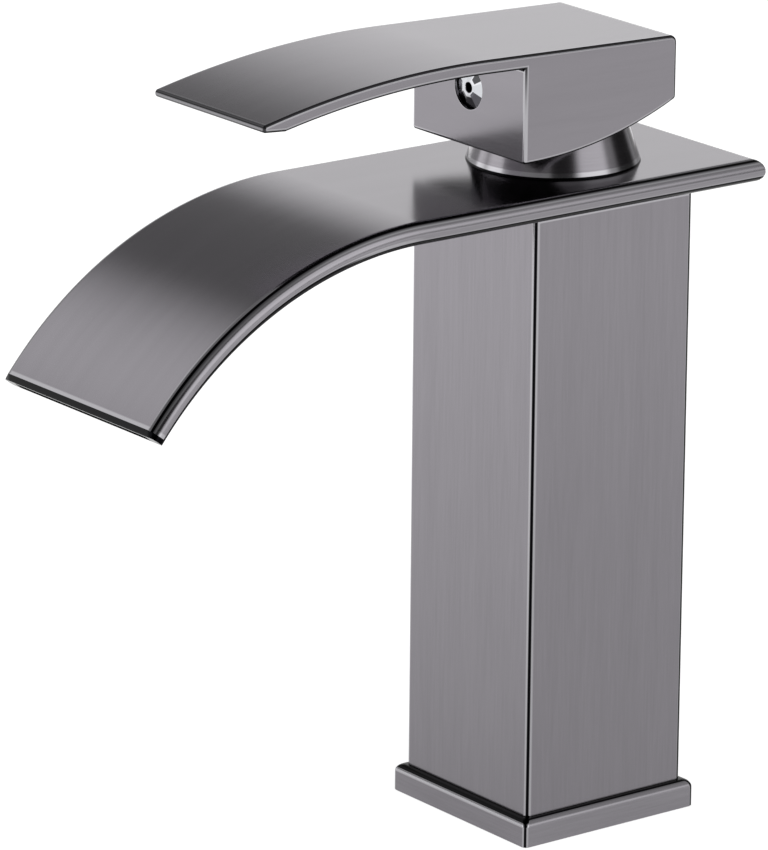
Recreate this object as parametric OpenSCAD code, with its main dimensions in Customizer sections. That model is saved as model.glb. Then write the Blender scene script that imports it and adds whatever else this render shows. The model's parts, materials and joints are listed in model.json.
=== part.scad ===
// Single-lever waterfall basin tap on a square column.
// Origin at the centre of the base on the deck, +Z up, the spout and the lever point to -Y.

/* [Base] */
// Width and depth of the square base plate
base_w = 50; // [48:0.5:60]
// Height of the base plate
base_h = 6.5; // [5:0.5:9]
// Radius of the plate's rounded top edges
base_round = 1.8; // [0.5:0.1:2.2]
// Width of the plate's rim round its square opening
base_rim = 3.8; // [3:0.1:4.4]
// Width of the square seal under the base plate
base_seal_w = 1.8; // [1.2:0.1:2]
// Thickness of the square seal under the base plate
base_seal_t = 1.4; // [1:0.1:2]
// Tapping diameter of the hole for the M8 fixing stud
stud_hole_d = 6.8; // [6:0.1:8.5]
// Diameter of the boss round the stud hole
stud_boss_d = 16; // [14:0.5:18]
// Width of the bar that carries the stud boss
bridge_w = 10; // [8:0.5:14]
// Wall of the foot round the hose openings
foot_wall = 3.8; // [3:0.1:5]
// Height of the foot, which carries the bar
foot_block_h = 12; // [9:0.5:16]

/* [Column] */
// Width and depth of the square column
column_w = 45.6; // [45:0.1:47]
// Height of the column above the base plate
column_h = 141.75; // [100:0.25:220]
// Wall of the hollow column
column_wall = 2.8; // [2.4:0.1:3.4]
// Radius of the column's upright edges
column_corner_r = 0.6; // [0.2:0.1:1.5]

/* [Valve seat] */
// Diameter of the seat that takes the ceramic cartridge
seat_d = 35.2; // [34.8:0.1:35.4]
// Thickness of metal under the seat, which holds the waterways
seat_floor_t = 18; // [17:0.5:24]
// Tapping diameter of the M10 hose inlets
inlet_d = 8.92; // [8:0.02:9]
// Depth of the tapped hose inlets
inlet_depth = 9; // [6:0.5:9.5]
// Distance between the hot and the cold inlet
inlet_spacing = 19; // [18:0.5:22]
// Distance of both inlets in front of the column's axis
inlet_front = 12; // [11.5:0.1:12.4]
// Distance between the cartridge's hot and cold port
port_spacing = 14; // [13.6:0.1:15]
// Distance of the hot and the cold port in front of the column's axis
port_front = 4; // [3.6:0.1:4.6]
// Distance of the mixed water port behind the column's axis
mixed_port_back = 5.4; // [5:0.1:5.8]
// Diameter of the cartridge's ports
port_d = 6; // [5:0.1:6]
// Diameter of the slanted bores between the inlets and the ports
slant_bore_d = 5; // [4:0.1:5.4]
// Diameter of the bore that leads the mixed water forward
main_bore_d = 5.2; // [5:0.1:5.6]
// Diameter of the cross bore between the two spout ducts
cross_bore_d = 4.6; // [4:0.1:4.8]
// Distance of each upright spout duct from the axis, sideways and forward
duct_offset = 16.4; // [16.3:0.1:16.8]
// Diameter of the two upright ducts to the spout
duct_d = 5.6; // [4:0.1:5.6]

/* [Spout] */
// Thickness of the gasket between column and spout
spout_gasket_t = 0.6; // [0.4:0.1:1]
// Step by which the gasket stays back from the column's faces
gasket_step = 0.8; // [0.4:0.1:1.2]
// Width of the spout
spout_w = 57.7; // [54:0.1:64]
// Thickness of the spout over the column
spout_t = 5.3; // [5:0.1:6]
// Reach of the spout behind the column's axis
spout_back = 38.9; // [30:0.1:50]
// Distance in front of the axis at which the spout starts to fall
bend_front = 58; // [40:0.5:90]
// Radius of the falling top face
fall_r = 93.5; // [85:0.5:120]
// Amount by which the radius of the underside is smaller
under_r_less = 3.2; // [2.8:0.1:4.2]
// Angle through which the spout falls
fall_angle = 51.5; // [35:0.5:58]
// Radius of the spout's round side and rear edges
edge_r = 2.65; // [1:0.05:3]
// Thickness of the skin above the water channel
upper_skin_t = 1.4; // [1:0.1:1.6]
// Height of the upper shell's side walls, down to the seam
upper_shell_h = 3; // [2.6:0.1:3.2]
// Height of the water channel
channel_h = 2.3; // [1.9:0.1:2.4]
// Width of the water channel and of the outlet slot
channel_w = 50; // [44:0.5:50]
// Width of the sealing land round the opening over the column
land_w = 1.6; // [1:0.1:2]
// Number of guide ribs in the water channel
rib_count = 5; // [3:1:7]
// Thickness of a guide rib
rib_t = 1; // [0.8:0.1:1.5]
// Length of a guide rib
rib_l = 24; // [10:1:28]

/* [Cartridge] */
// Height of the foot's flange
foot_flange_t = 2; // [1.6:0.1:2.4]
// Height of the whole foot
foot_h = 4.6; // [4.2:0.1:5]
// Outer radius of a port seal
seal_out_r = 4.8; // [4.4:0.1:5]
// Inner radius of a port seal
seal_in_r = 3.1; // [3.05:0.05:3.5]
// Thickness of a port seal
seal_t = 1.5; // [1:0.1:1.8]
// Thickness of each ceramic disc
disc_t = 3.5; // [3:0.1:3.8]
// Height of the carrier that pushes the moving disc
carrier_h = 8; // [7.6:0.1:8.2]
// Height of the housing's shoulder above the seat floor
shoulder_h = 23; // [22.5:0.1:23.2]
// Height of the housing's neck above the spout
neck_rise = 5.35; // [4.5:0.05:5.5]
// Wall of the housing
housing_wall = 1.9; // [1.6:0.1:2.2]
// Thickness of the housing's shoulder
shoulder_t = 2; // [1.6:0.1:2.2]
// Outer radius of the turret that turns in the neck
turret_r = 11.5; // [11.2:0.1:11.6]
// Wall of the housing's neck
neck_wall = 1.7; // [1.2:0.1:1.8]
// Distance from the pivot pin down to the ball of the stem
stem_arm = 9; // [8.6:0.1:9.4]
// Width of the square stem
stem_w = 8; // [7:0.1:8.2]
// Height of the stem's top above the axis of the handle's screw
stem_above_screw = 4.35; // [3.8:0.05:4.6]
// Radius of the stem's ball
ball_r = 3; // [2.4:0.1:3]
// Diameter of the pivot pin
pin_d = 3; // [2.5:0.1:3.4]
// Height of the turret's top above the housing's neck
turret_rise = 3.25; // [1.5:0.05:3.5]
// Angle through which the lever lifts
lift_angle = 20; // [12:1:20]

/* [Nuts and trim ring] */
// Diameter of the cartridge nut's thread
nut_thread_d = 38; // [37.6:0.1:38.2]
// Height of the cartridge nut's thread
nut_thread_h = 5.25; // [4.5:0.25:7]
// Outer radius of the nut's neck, which passes the spout
nut_neck_r = 15.4; // [15.2:0.1:15.6]
// Height of the nut's neck above the spout
nut_neck_h = 6.8; // [6.6:0.1:7.2]
// Height of the ring nut that clamps the spout
clamp_nut_h = 4; // [3:0.1:4.2]
// Outer radius of the ring nut
clamp_nut_r = 17.3; // [16.6:0.1:17.4]
// Outer radius of the trim ring where it stands on the spout
trim_base_r = 20; // [19.8:0.1:22]
// Outer radius of the trim ring at its shoulder
trim_top_r = 18.4; // [18.2:0.1:18.6]
// Height of the trim ring's shoulder
trim_h = 7.85; // [7.6:0.05:8]
// Height of the dome above the shoulder
trim_dome_h = 2.4; // [2.2:0.1:2.6]
// Gap between the dome and the turret that turns in it
trim_hole_gap = 0.4; // [0.3:0.05:0.6]
// Wall of the trim ring
trim_wall = 1.2; // [1:0.1:1.3]

/* [Handle] */
// Width of the lever and of its block
handle_w = 41.2; // [40.8:0.1:46]
// Distance of the lever's tip in front of the axis
blade_reach = 96.3; // [80:0.1:120]
// Thickness of the lever blade
blade_t = 3.3; // [2.6:0.1:4]
// Thickness that is left at the bevelled tip
tip_t = 1.6; // [1:0.1:2.2]
// Length of the bevel under the tip
tip_bevel_l = 6; // [3:0.5:9]
// Radius of the lever's arched top
arch_r = 239; // [220:1:300]
// Height of the arch's start above the spout
arch_start_h = 31.75; // [31.5:0.05:33]
// Distance in front of the axis at which the arch starts
arch_start = 34.6; // [30:0.1:40]
// Angle at which the flat rear top rises towards the front
rise_angle = 1.7; // [0:0.1:3]
// Distance of the block's front face in front of the axis
block_front = 24.6; // [24.4:0.1:26]
// Distance of the block's rear face behind the axis
block_back = 18.9; // [18.8:0.1:20]
// Height of the block's lowest line above the spout
block_gap = 6.3; // [6.2:0.1:7]
// Radius of the block's curved lower edge
block_low_r = 102.8; // [95:0.2:110]
// Distance in front of the axis of the lowest line
block_low_front = 23.6; // [22:0.1:25]
// Wall of the hollow block
block_wall = 2; // [1.4:0.1:2]
// Height of the hollow's ceiling above the spout
hollow_h = 15.85; // [15.6:0.05:16.4]
// Depth of solid metal behind the front face, above the step of the hollow
front_solid = 7.6; // [7:0.1:7.6]
// Height of that step above the spout
front_step_h = 10.35; // [10:0.05:11]
// Diameter of the screw's recess in the front face
recess_d = 9.8; // [8.6:0.1:9.8]
// Depth of the screw's recess
recess_depth = 6; // [4.5:0.1:6]
// Height of the screw's axis above the spout
screw_h = 19.95; // [19.4:0.05:20.4]
// Tapping diameter of the screw hole
screw_d = 4.2; // [3.4:0.1:4.2]
// Width across flats of the screw's hexagon socket
socket_af = 2.5; // [2:0.1:3]
// Depth of the screw's hexagon socket
socket_depth = 2.6; // [2:0.1:3]

/* [Hidden] */
$fn = 96;
// Length by which every cut runs past the metal
past = 1;
// Clearance of pieces that are put together by hand
fit_gap = 0.2;
// Clearance of a close fit without movement
close_gap = 0.05;
// Clearance of a shaft or pin that turns
running_gap = 0.06;
// Height left over a flange that turns, and the side play of the carrier between its lugs
axial_gap = 0.1;
// Clearance between faces that move past each other
free_gap = 0.35;
// Angle by which a cut runs past the spout's tip
past_angle = 10;

// Heights along the column
body_top = base_h + column_h;
spout_z = body_top + spout_gasket_t;
spout_top = spout_z + spout_t;
shoulder_z = body_top - nut_thread_h;
seat_z = shoulder_z - shoulder_h;
block_z = seat_z - seat_floor_t;

// Foot of the column
opening_w = base_w - 2 * base_rim;
register_w = opening_w - 2 * fit_gap;
column_inner_w = column_w - 2 * column_wall;
hose_opening_end = register_w / 2 - foot_wall;
base_seal_mid_w = (base_w + opening_w) / 2;

// Waterways
port_r = port_d / 2;
// Metal left between the seat and the bore under it
bore_roof_t = 2;
bore_z = seat_z - bore_roof_t - main_bore_d / 2;
// Pegs that locate the cartridge's foot in the seat
locator_r = 1.9;
locator_h = 2.5;
locator_x = 11.5;
locator_y = 7;
ports = [[port_spacing / 2, -port_front], [-port_spacing / 2, -port_front], [0, mixed_port_back]];
inlets = [[inlet_spacing / 2, -inlet_front], [-inlet_spacing / 2, -inlet_front]];
locators = [[locator_x, locator_y], [-locator_x, locator_y]];
ducts = [[duct_offset, -duct_offset], [-duct_offset, -duct_offset]];

// Cartridge radii and heights
housing_r = seat_d / 2 - fit_gap;
cavity_r = housing_r - housing_wall;
neck_bore_r = turret_r + running_gap;
neck_r = neck_bore_r + neck_wall;
fixed_disc_z = seat_z + foot_h;
moving_disc_z = fixed_disc_z + disc_t + close_gap;
carrier_z = moving_disc_z + disc_t;
carrier_top = carrier_z + carrier_h;
ball_z = carrier_top - ball_r + 0.1 * ball_r;
pivot_z = ball_z + stem_arm;
cavity_top = shoulder_z - shoulder_t;
neck_top = spout_top + neck_rise;
disc_stroke = stem_arm * sin(lift_angle);
moving_disc_r = cavity_r - disc_stroke - free_gap;
fixed_disc_r = cavity_r - fit_gap;
flange_r = cavity_r - free_gap;
guide_half_w = 0.94 * moving_disc_r;
// Pegs between the carrier and the moving disc
peg_r = 1.2;
peg_h = 1.2;
peg_y = 7.5;

// Lever stem in its turret
screw_z = spout_top + screw_h;
turret_top = neck_top + turret_rise;
flange_z = carrier_top + free_gap / 2;
slot_half = stem_w / 2 + 2 * free_gap;
stem_boss_r = 0.55 * stem_w;
stem_neck_r = 0.7 * ball_r;
stem_top = screw_z + stem_above_screw;

// Spout curves, whose centres lie on one upright line
fall_centre_z = spout_top - fall_r;
under_r = fall_r - under_r_less;
under_centre_z = spout_z - under_r;
// The edge radius is limited by the height of each shell
edge_top_r = min(edge_r, 0.9 * upper_shell_h);
edge_low_r = min(edge_r, spout_t - upper_shell_h);
spout_hole_r = nut_neck_r + 2 * fit_gap;
channel_back = duct_offset - duct_d / 2;

// Lever arch, tangent to the rising flat
arch_start_z = spout_top + arch_start_h;
arch_y = -arch_start - arch_r * sin(rise_angle);
arch_z = arch_start_z - arch_r * cos(rise_angle);
arch_angle = asin(2 * blade_reach / arch_r);
// Height of the arched face at a distance in front of the axis, moved inwards by depth
function arch_height(front, depth) = arch_z + sqrt(pow(arch_r - depth, 2) - pow(front + arch_y, 2));
block_low_z = spout_top + block_gap + block_low_r;
hollow_top = spout_top + hollow_h;

GUNMETAL = "#7b7a7e";
BRASS = "#c9a85c";
PLASTIC = "#e6e4dc";
CERAMIC = "#f4f4f0";
RUBBER = "#26262a";
STEEL = "#b9bcc2";

// Square with round corners, centred
module round_square(w, r) {
    square([w - 2 * r, w], center = true);
    square([w, w - 2 * r], center = true);
    for (x = [-1, 1], y = [-1, 1])
        translate([x * (w / 2 - r), y * (w / 2 - r)]) circle(r);
}

// A side outline, drawn as (y, z), made into a solid that is w wide along X
module across(w) {
    translate([-w / 2, 0, 0]) rotate([90, 0, 90]) linear_extrude(w) children();
}

// A square bar along Z
module square_bar(w, z0, z1) {
    translate([-w / 2, -w / 2, z0]) cube([w, w, z1 - z0]);
}

// A round bar along Z at p
module round_bar(r, z0, z1, p = [0, 0]) {
    translate([p[0], p[1], z0]) cylinder(r = r, h = z1 - z0);
}

// A ring along Z at p
module ring(r_out, r_in, z0, z1, p = [0, 0]) {
    difference() {
        round_bar(r_out, z0, z1, p);
        round_bar(r_in, z0 - past, z1 + past, p);
    }
}

// Outline of the base plate from the side, with round top corners
module base_side() {
    translate([-base_w / 2, 0]) square([base_w, base_h - base_round]);
    translate([-base_w / 2 + base_round, 0]) square([base_w - 2 * base_round, base_h]);
    for (y = [-1, 1])
        translate([y * (base_w / 2 - base_round), base_h - base_round]) circle(base_round);
}

module seal_ring_outline(extra) {
    difference() {
        round_square(base_seal_mid_w + base_seal_w + extra, base_seal_w / 2);
        square(base_seal_mid_w - base_seal_w - extra, center = true);
    }
}

module base_plate() {
    color(GUNMETAL) difference() {
        intersection() {
            across(base_w) base_side();
            rotate([0, 0, 90]) across(base_w) base_side();
        }
        translate([0, 0, -past]) linear_extrude(base_h + 2 * past) square(opening_w, center = true);
        translate([0, 0, -past]) linear_extrude(base_seal_t + past) seal_ring_outline(close_gap);
    }
}

module base_seal() {
    color(RUBBER) linear_extrude(base_seal_t) seal_ring_outline(-close_gap);
}

// Square tube, open at both ends
module column() {
    color(GUNMETAL) translate([0, 0, base_h]) linear_extrude(column_h) difference() {
        round_square(column_w, column_corner_r);
        square(column_inner_w, center = true);
    }
}

// Foot of the column: it fills the base plate's opening and carries the stud boss on a bar
module column_foot() {
    color(BRASS) difference() {
        union() {
            difference() {
                union() {
                    square_bar(register_w, 0, base_h);
                    square_bar(column_inner_w, 0, foot_block_h);
                }
                for (side = [-1, 1])
                    translate([-hose_opening_end, side > 0 ? bridge_w / 2 : -hose_opening_end, -past])
                        cube([2 * hose_opening_end, hose_opening_end - bridge_w / 2, foot_block_h + 2 * past]);
            }
            round_bar(stud_boss_d / 2, 0, foot_block_h);
        }
        round_bar(stud_hole_d / 2, -past, foot_block_h + past);
    }
}

// A round bore from one point to another
module bore_between(r, from, to) {
    run = to - from;
    translate(from) rotate([0, acos(run[2] / norm(run)), atan2(run[1], run[0])]) cylinder(r = r, h = norm(run));
}

// Bores from the tapped inlets to the seat, and from the mixed port to both spout ducts
module waterways() {
    inlet_top = block_z + inlet_depth;
    for (i = [0, 1]) {
        round_bar(inlet_d / 2, block_z - past, inlet_top, inlets[i]);
        bore_between(slant_bore_d / 2, [inlets[i][0], inlets[i][1], inlet_top - slant_bore_d / 2],
            [ports[i][0], ports[i][1], bore_z]);
    }
    for (p = ports) round_bar(port_r, bore_z, seat_z + past, p);
    translate([0, mixed_port_back, bore_z]) rotate([90, 0, 0])
        cylinder(d = main_bore_d, h = mixed_port_back + duct_offset);
    translate([-duct_offset, -duct_offset, bore_z]) rotate([0, 90, 0])
        cylinder(d = cross_bore_d, h = 2 * duct_offset);
    for (p = ducts)
        round_bar(duct_d / 2, bore_z - main_bore_d / 2, body_top + past, p);
}

// Casting that fills the top of the column: cartridge seat, nut thread, hose inlets and waterways
module valve_block() {
    color(BRASS) difference() {
        square_bar(column_inner_w, block_z, body_top);
        round_bar(seat_d / 2, seat_z, body_top + past);
        round_bar(nut_thread_d / 2, shoulder_z - fit_gap, body_top + past);
        for (p = locators) round_bar(locator_r + close_gap, seat_z - locator_h - fit_gap, seat_z + past, p);
        waterways();
    }
}

module spout_gasket() {
    color(RUBBER) translate([0, 0, body_top]) linear_extrude(spout_gasket_t) difference() {
        square(column_w - 2 * gasket_step, center = true);
        circle(nut_thread_d / 2);
        for (p = ducts) translate(p) circle(d = duct_d);
    }
}

// Part of a round disc between straight up and the given angle towards the front
module sector(r, angle, finer) {
    far = 2 * r;
    intersection() {
        circle(r, $fn = finer * $fn);
        polygon([[0, 0], [0, far], [-far * sin(angle), far], [-far * sin(angle), far * cos(angle)]]);
    }
}

// Everything below the spout's top face, moved down by depth and turned further at the tip
module under_top(depth, extra_angle = 0) {
    translate([-bend_front, 0]) square([bend_front + spout_back + past, spout_top - depth]);
    translate([-bend_front, fall_centre_z]) sector(fall_r - depth, fall_angle + extra_angle, 4);
}

// A section drawn as (height above the curve's centre, width), run along the flat and round the fall
module spout_sweep(centre_z, angle) {
    translate([0, -bend_front, centre_z]) {
        rotate([-90, -90, 0]) linear_extrude(bend_front + spout_back) children();
        rotate([0, -90, 180]) rotate_extrude(angle = angle, $fn = 4 * $fn) children();
    }
}

// What a round corner of radius r takes off a square one, on the side that sx and sy point to
module corner_waste(r, sx, sy) {
    difference() {
        translate([sx > 0 ? 0 : -r - past, sy > 0 ? 0 : -r - past]) square(r + past);
        circle(r);
    }
}

// Section of a plate from low to high above the curve's centre, with its upper (1) or lower (-1) corners round
module plate_section(low, high, r, up) {
    difference() {
        translate([low, -spout_w / 2]) square([high - low, spout_w]);
        for (side = [-1, 1])
            translate([up > 0 ? high - r : low + r, side * (spout_w / 2 - r)]) corner_waste(r, up, side);
    }
}

// What the round edges take off the spout's rear end
module rear_waste() {
    across(spout_w + past) {
        translate([spout_back - edge_top_r, spout_top - edge_top_r]) corner_waste(edge_top_r, 1, 1);
        translate([spout_back - edge_low_r, spout_z + edge_low_r]) corner_waste(edge_low_r, 1, -1);
    }
}

// The water channel's outline from the side
module channel_side() {
    difference() {
        under_top(upper_skin_t, past_angle);
        under_top(upper_skin_t + channel_h, 2 * past_angle);
    }
}

// The water channel: from the ducts to the tip, clear of the land round the opening
module channel() {
    difference() {
        across(channel_w) intersection() {
            channel_side();
            translate([-2 * fall_r - channel_back, 0]) square([2 * fall_r, spout_top + past]);
        }
        round_bar(spout_hole_r + land_w, spout_z - past, spout_top + past);
    }
}

module guide_ribs() {
    pitch = channel_w / (rib_count + 1);
    for (i = [1 : rib_count])
        translate([i * pitch - channel_w / 2 - rib_t / 2, -bend_front, spout_top - upper_skin_t - channel_h])
            cube([rib_t, rib_l, channel_h]);
}

module spout_upper_shell() {
    color(GUNMETAL) difference() {
        spout_sweep(fall_centre_z, fall_angle)
            plate_section(fall_r - upper_shell_h, fall_r, edge_top_r, 1);
        rear_waste();
        channel();
        round_bar(spout_hole_r, spout_z, spout_top + past);
    }
}

module spout_lower_shell() {
    color(GUNMETAL) difference() {
        intersection() {
            spout_sweep(under_centre_z, fall_angle + past_angle)
                plate_section(under_r, under_r + spout_t, edge_low_r, -1);
            across(spout_w + past) under_top(upper_shell_h);
        }
        rear_waste();
        channel();
        round_bar(spout_hole_r, spout_z - past, spout_top);
        for (p = ducts) round_bar(duct_d / 2, spout_z - past, spout_top - upper_shell_h + past, p);
    }
    color(GUNMETAL) guide_ribs();
}

// Three rings that seal the ports, standing at height z
module port_seals(z) {
    color(RUBBER) for (p = ports) ring(seal_out_r, seal_in_r, z, z + seal_t, p);
}

module lower_port_seals() port_seals(seat_z);

module upper_port_seals() port_seals(fixed_disc_z - seal_t);

module cartridge_foot() {
    color(PLASTIC) difference() {
        union() {
            round_bar(housing_r - close_gap, seat_z, seat_z + foot_flange_t);
            round_bar(cavity_r - close_gap, seat_z, fixed_disc_z);
            for (p = locators) round_bar(locator_r, seat_z - locator_h, seat_z + past, p);
        }
        for (p = ports) {
            round_bar(port_r, seat_z - past, fixed_disc_z + past, p);
            round_bar(seal_out_r + close_gap, seat_z - past, seat_z + seal_t, p);
            round_bar(seal_out_r + close_gap, fixed_disc_z - seal_t, fixed_disc_z + past, p);
        }
    }
}

// Places of the ceramic disc's ports, drawn in a little from the foot's ports
disc_port_share = 0.92;
disc_port_r_share = 0.76;

module fixed_disc() {
    color(CERAMIC) difference() {
        round_bar(fixed_disc_r, fixed_disc_z, fixed_disc_z + disc_t);
        for (p = ports)
            round_bar(port_r * disc_port_r_share, fixed_disc_z - past, moving_disc_z + past,
                p * disc_port_share);
    }
}

// Mixing pocket in the sliding face: one round over the mixed port and two lobes
pocket_r_share = 0.375;
lobe_x_share = 0.45;
lobe_y_share = 0.25;
lobe_r_share = 0.25;

module moving_disc() {
    pocket_top = moving_disc_z + disc_t / 2;
    color(CERAMIC) difference() {
        round_bar(moving_disc_r, moving_disc_z, carrier_z);
        round_bar(moving_disc_r * pocket_r_share, moving_disc_z - past, pocket_top,
            [0, mixed_port_back - disc_stroke / 5]);
        for (x = [-1, 1])
            round_bar(moving_disc_r * lobe_r_share, moving_disc_z - past, pocket_top,
                [x * moving_disc_r * lobe_x_share, moving_disc_r * lobe_y_share]);
        for (y = [-1, 1])
            round_bar(peg_r + close_gap, carrier_z - peg_h - close_gap, carrier_z + past, [0, y * peg_y]);
    }
}

module disc_carrier() {
    color(PLASTIC) difference() {
        union() {
            intersection() {
                round_bar(moving_disc_r, carrier_z, carrier_top);
                translate([-guide_half_w, -cavity_r, carrier_z]) cube([2 * guide_half_w, 2 * cavity_r, carrier_h]);
            }
            for (y = [-1, 1]) round_bar(peg_r, carrier_z - peg_h, carrier_z + past, [0, y * peg_y]);
        }
        round_bar(ball_r + fit_gap, ball_z - ball_r - free_gap, carrier_top + past);
    }
}

module cartridge_housing() {
    color(PLASTIC) difference() {
        union() {
            round_bar(housing_r, seat_z + foot_flange_t, shoulder_z);
            round_bar(neck_r, shoulder_z, neck_top);
        }
        round_bar(cavity_r, seat_z, cavity_top);
        round_bar(neck_bore_r, cavity_top - past, neck_top + past);
    }
}

// Slot in which the stem tilts, seen from the side: the top leans back, the foot swings forward
module stem_slot_side() {
    high = turret_top + past - pivot_z;
    low = pivot_z - flange_z + past;
    polygon([
        [-slot_half, high],
        [-slot_half, -stem_neck_r],
        [-stem_neck_r - low * tan(lift_angle) - 2 * free_gap, -low],
        [slot_half, -low],
        [slot_half, 0],
        [high * tan(lift_angle) + stem_w / 2 / cos(lift_angle) + free_gap, high]
    ]);
}

module stem_turret() {
    lug_low = carrier_z + free_gap;
    color(PLASTIC) difference() {
        union() {
            round_bar(turret_r, flange_z, turret_top);
            round_bar(flange_r, flange_z, cavity_top - axial_gap);
            intersection() {
                round_bar(flange_r, lug_low, flange_z + past / 2);
                for (x = [-1, 1])
                    translate([x > 0 ? guide_half_w + axial_gap : -flange_r, -turret_r / 2, lug_low])
                        cube([flange_r - guide_half_w - axial_gap, turret_r, flange_z + past / 2 - lug_low]);
            }
        }
        translate([0, 0, pivot_z]) across(stem_w + free_gap) stem_slot_side();
        translate([-turret_r - past, 0, pivot_z]) rotate([0, 90, 0])
            cylinder(d = pin_d, h = 2 * turret_r + 2 * past);
    }
}

module pivot_pin() {
    length = 2 * turret_r - 2 * fit_gap;
    color(STEEL) translate([-length / 2, 0, pivot_z]) rotate([0, 90, 0]) cylinder(d = pin_d, h = length);
}

module lever_stem() {
    color(STEEL) difference() {
        union() {
            translate([-stem_w / 2, 0, pivot_z]) rotate([0, 90, 0]) cylinder(r = stem_boss_r, h = stem_w);
            square_bar(stem_w, pivot_z, stem_top);
            round_bar(stem_neck_r, ball_z, pivot_z);
            translate([0, 0, ball_z]) sphere(ball_r);
        }
        translate([-stem_w / 2 - past, 0, pivot_z]) rotate([0, 90, 0])
            cylinder(r = pin_d / 2 + running_gap, h = stem_w + 2 * past);
    }
}

module cartridge_nut() {
    nut_neck_top = spout_top + nut_neck_h;
    slot_w = trim_wall * 2.5;
    color(BRASS) difference() {
        union() {
            round_bar(nut_thread_d / 2 - close_gap, shoulder_z, body_top);
            round_bar(nut_neck_r, shoulder_z, nut_neck_top);
        }
        round_bar(neck_r + fit_gap, shoulder_z - past, nut_neck_top + past);
        for (turn = [0, 90])
            translate([0, 0, nut_neck_top]) rotate([0, 0, turn])
                cube([2 * nut_neck_r + past, slot_w, slot_w], center = true);
    }
}

module spout_clamp_nut() {
    notch_w = trim_wall * 3;
    color(BRASS) difference() {
        ring(clamp_nut_r, nut_neck_r + close_gap, spout_top, spout_top + clamp_nut_h);
        for (turn = [0 : 60 : 300])
            rotate([0, 0, turn]) translate([clamp_nut_r, 0, spout_top + clamp_nut_h])
                cube([trim_wall, notch_w, clamp_nut_h], center = true);
    }
}

// Height and section of the rubber ring that grips the trim ring's slanted inner wall
o_ring_h = (clamp_nut_h + nut_neck_h) / 2;
trim_inner_h = trim_h - trim_wall * 2 / 3;
trim_slope = (trim_base_r - trim_top_r) / trim_inner_h;
trim_lean = cos(atan(trim_slope));
o_ring_room = trim_base_r - trim_wall - trim_slope * o_ring_h - nut_neck_r - close_gap;
o_ring_r = (o_ring_room * trim_lean - close_gap) / (1 + trim_lean);

module trim_o_ring() {
    color(RUBBER) translate([0, 0, spout_top + o_ring_h]) rotate_extrude()
        translate([nut_neck_r + close_gap + o_ring_r, 0]) circle(o_ring_r);
}

module trim_ring() {
    color(GUNMETAL) translate([0, 0, spout_top]) rotate_extrude() polygon([
        [trim_base_r - trim_wall, 0],
        [trim_base_r, 0],
        [trim_top_r, trim_h],
        [turret_r + trim_hole_gap, trim_h + trim_dome_h],
        [turret_r + trim_hole_gap, trim_h + trim_dome_h - trim_wall],
        [trim_top_r - trim_wall, trim_inner_h]
    ]);
}

// Everything below the lever's top face, moved inwards by depth: an arch in front, a straight run behind
module under_arch(depth) {
    translate([-arch_start, arch_start_z]) rotate(-rise_angle) translate([0, -arch_r]) {
        sector(arch_r - depth, arch_angle, 8);
        square([2 * block_back + arch_start, arch_r - depth]);
    }
}

// Outline of the blade, with the bevel under its tip
module blade_side() {
    tip_z = arch_height(blade_reach, 0);
    bevel_start = blade_reach - tip_bevel_l;
    bevel_z = arch_height(bevel_start, blade_t);
    intersection() {
        difference() {
            under_arch(0);
            under_arch(blade_t);
            polygon([
                [-blade_reach - past, tip_z - tip_t],
                [-blade_reach, tip_z - tip_t],
                [-bevel_start, bevel_z],
                [-bevel_start, bevel_z - blade_t],
                [-blade_reach - past, bevel_z - blade_t]
            ]);
        }
        translate([-blade_reach, 0]) square([blade_reach - block_front + block_wall, arch_start_z + past]);
    }
}

module block_side() {
    intersection() {
        under_arch(0);
        translate([-block_front, 0]) square([block_front + block_back, arch_start_z + past]);
        translate([-block_low_front, block_low_z]) circle(block_low_r, $fn = 4 * $fn);
    }
}

// Hollow under the block, with a step that leaves solid metal round the screw
module block_hollow_side() {
    back = block_back - block_wall;
    polygon([
        [-block_front + block_wall, spout_top],
        [-block_front + block_wall, spout_top + front_step_h],
        [-block_front + front_solid, spout_top + front_step_h],
        [-block_front + front_solid, hollow_top],
        [back, hollow_top],
        [back, spout_top]
    ]);
}

module handle() {
    color(GUNMETAL) difference() {
        across(handle_w) {
            blade_side();
            block_side();
        }
        across(handle_w - 2 * block_wall) block_hollow_side();
        square_bar(stem_w + 2 * close_gap, hollow_top - past, stem_top + fit_gap);
        translate([0, -block_front - past, screw_z]) rotate([-90, 0, 0])
            cylinder(d = recess_d, h = recess_depth + past);
        translate([0, -block_front, screw_z]) rotate([-90, 0, 0])
            cylinder(d = screw_d, h = block_front);
    }
}

module handle_screw() {
    head_r = recess_d / 2 - fit_gap;
    head_h = recess_depth / 2;
    shank = block_front - stem_w / 2 - close_gap;
    color(STEEL) translate([0, -block_front, screw_z]) rotate([-90, 0, 0]) difference() {
        union() {
            cylinder(r1 = head_r * 0.45, r2 = head_r, h = head_h);
            translate([0, 0, head_h]) cylinder(r = head_r, h = recess_depth - head_h);
            cylinder(d = screw_d - 2 * close_gap, h = shank);
        }
        translate([0, 0, -past]) cylinder(d = socket_af / cos(30), h = socket_depth + past, $fn = 6);
    }
}

base_plate();
base_seal();
column();
column_foot();
valve_block();
spout_gasket();
spout_lower_shell();
spout_upper_shell();
cartridge_foot();
lower_port_seals();
upper_port_seals();
fixed_disc();
moving_disc();
disc_carrier();
cartridge_housing();
stem_turret();
pivot_pin();
lever_stem();
cartridge_nut();
spout_clamp_nut();
trim_o_ring();
trim_ring();
handle();
handle_screw();
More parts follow.
